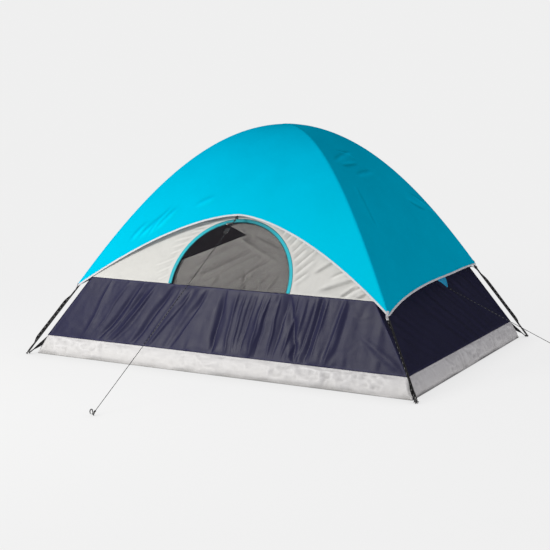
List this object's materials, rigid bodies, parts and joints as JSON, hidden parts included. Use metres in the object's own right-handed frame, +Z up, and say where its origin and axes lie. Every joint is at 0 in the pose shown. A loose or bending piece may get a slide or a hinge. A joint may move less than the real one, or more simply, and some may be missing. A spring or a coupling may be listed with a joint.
{
  "type": "dome tent",
  "caption": "Freestanding dome tent: crossed bent poles, an inner tent with an arched mesh window and a door, and a partial rainfly held by corner hooks and guy lines.",
  "frame": {"origin": "on the ground, at the middle of the floor's underside, under the crossing of the poles", "axes": "+Z up, +X along the long side to the end with the side guy line, -Y out of the front side with the window"},
  "size_m": [3.7806, 3.3032, 1.7032],
  "materials": {
    "floor_sheet": "matte",
    "bathtub_fabric": "satin",
    "dark_band": "matte",
    "wall_fabric": "matte",
    "roof_net": "matte",
    "window_net": "matte",
    "trim_fabric": "satin",
    "flap_fabric": "matte",
    "door_fabric": "matte",
    "zip_metal": "satin",
    "sleeve_fabric": "matte",
    "fibreglass": "gloss",
    "ferrule_steel": "satin",
    "shock_cord": "matte",
    "webbing": "matte",
    "ring_steel": "satin",
    "clip_plastic": "matte",
    "fly_fabric": "satin",
    "binding_tape": "matte",
    "fly_tab_fabric": "matte",
    "toggle_plastic": "matte",
    "elastic": "matte",
    "hook_plastic": "matte",
    "guy_cord": "matte",
    "slider_plastic": "matte",
    "stake_steel": "satin"
  },
  "bodies": {
    "tent": {"floor": "floor_sheet", "bathtub_wall": "bathtub_fabric", "front_band": "dark_band", "right_band": "dark_band", "back_band": "dark_band", "left_band": "dark_band", "front_wall": "wall_fabric", "right_wall": "wall_fabric", "back_wall": "wall_fabric", "left_wall": "wall_fabric", "roof_mesh": "roof_net", "window_mesh": "window_net", "window_trim": "trim_fabric", "door_trim": "trim_fabric", "pole_sleeve_a": "sleeve_fabric", "pole_sleeve_b": "sleeve_fabric", "pole_a_centre_section": "fibreglass", "pole_a_upper_sections": "fibreglass", "pole_a_middle_sections": "fibreglass", "pole_a_end_sections": "fibreglass", "pole_b_centre_section": "fibreglass", "pole_b_upper_sections": "fibreglass", "pole_b_middle_sections": "fibreglass", "pole_b_end_sections": "fibreglass", "pole_ferrules": "ferrule_steel", "pole_end_caps": "ferrule_steel", "shock_cord_a": "shock_cord", "shock_cord_b": "shock_cord", "corner_straps": "webbing", "corner_rings": "ring_steel", "corner_pins": "ring_steel", "clip_tabs": "webbing", "corner_clips": "clip_plastic"},
    "window_flap": {"window_flap": "flap_fabric"},
    "window_zip_slider": {"window_zip_slider": "zip_metal"},
    "door": {"door_panel": "door_fabric"},
    "door_zip_slider": {"door_zip_slider": "zip_metal"},
    "rainfly": {"rainfly": "fly_fabric", "fly_binding": "binding_tape", "fly_corner_tabs": "fly_tab_fabric", "fly_guy_tabs": "fly_tab_fabric", "fly_toggles": "toggle_plastic"},
    "fly_strap_front_left": {"fly_strap_front_left": "elastic", "fly_hook_front_left": "hook_plastic"},
    "fly_strap_front_right": {"fly_strap_front_right": "elastic", "fly_hook_front_right": "hook_plastic"},
    "fly_strap_back_left": {"fly_strap_back_left": "elastic", "fly_hook_back_left": "hook_plastic"},
    "fly_strap_back_right": {"fly_strap_back_right": "elastic", "fly_hook_back_right": "hook_plastic"},
    "front_guy_line": {"front_guy_line": "guy_cord"},
    "front_guy_slider": {"front_guy_slider": "slider_plastic"},
    "front_stake": {"front_stake": "stake_steel"},
    "right_guy_line": {"right_guy_line": "guy_cord"},
    "right_guy_slider": {"right_guy_slider": "slider_plastic"},
    "right_stake": {"right_stake": "stake_steel"}
  },
  "joints": [
    {"name": "rainfly_lift", "type": "slide", "parent": "tent", "child": "rainfly", "axis": [0, 0, 1], "range_m": [0, 1.7]},
    {"name": "fly_strap_front_left_swing", "type": "hinge", "parent": "rainfly", "child": "fly_strap_front_left", "pos_m": [-1.14179, -0.89078, 0.44456], "axis": [-0.608, 0.7939, 0], "range_deg": [0, 30]},
    {"name": "fly_strap_front_right_swing", "type": "hinge", "parent": "rainfly", "child": "fly_strap_front_right", "pos_m": [1.14112, -0.89027, 0.44396], "axis": [-0.608, -0.7939, 0], "range_deg": [0, 30]},
    {"name": "fly_strap_back_left_swing", "type": "hinge", "parent": "rainfly", "child": "fly_strap_back_left", "pos_m": [-1.14112, 0.89027, 0.44396], "axis": [0.608, 0.7939, 0], "range_deg": [0, 30]},
    {"name": "fly_strap_back_right_swing", "type": "hinge", "parent": "rainfly", "child": "fly_strap_back_right", "pos_m": [1.08402, 0.85095, 0.5332], "axis": [0.608, -0.7939, 0], "range_deg": [0, 30]},
    {"name": "front_guy_line_swing", "type": "hinge", "parent": "rainfly", "child": "front_guy_line", "pos_m": [0, -0.694, 0.957], "axis": [-0.9991, 0.0421, 0], "range_deg": [0, 40]},
    {"name": "front_guy_slider_slide", "type": "slide", "parent": "front_guy_line", "child": "front_guy_slider", "axis": [0.0354, 0.8413, 0.5394], "range_m": [-1.45, 0.05]},
    {"name": "front_stake_pull", "type": "slide", "parent": "tent", "child": "front_stake", "axis": [-0.0088, -0.3089, 0.9511], "range_m": [0, 0.2]},
    {"name": "right_guy_line_swing", "type": "hinge", "parent": "rainfly", "child": "right_guy_line", "pos_m": [1.197, 0, 0.5], "axis": [0, -1, 0], "range_deg": [0, 40]},
    {"name": "right_guy_slider_slide", "type": "slide", "parent": "right_guy_line", "child": "right_guy_slider", "axis": [-0.9175, 0, 0.3978], "range_m": [-0.25, 0.7]},
    {"name": "right_stake_pull", "type": "slide", "parent": "tent", "child": "right_stake", "axis": [0.309, 0, 0.9511], "range_m": [0, 0.2]},
    {"name": "window_flap_fold", "type": "hinge", "parent": "tent", "child": "window_flap", "pos_m": [0.02, -0.83097, 0.52047], "axis": [-1, 0, 0], "range_deg": [0, 140]},
    {"name": "window_zip_run", "type": "hinge", "parent": "tent", "child": "window_zip_slider", "pos_m": [0.02, -0.82815, 0.55893], "axis": [0, -0.8743, 0.4853], "range_deg": [-100, 53]},
    {"name": "door_fold", "type": "hinge", "parent": "tent", "child": "door", "pos_m": [0, 0.96198, 0.14503], "axis": [1, 0, 0], "range_deg": [0, 70]},
    {"name": "door_zip_run", "type": "hinge", "parent": "tent", "child": "door_zip_slider", "pos_m": [0, 0.82815, 0.55893], "axis": [0, 0.8743, 0.4853], "range_deg": [-55, 115]}
  ]
}
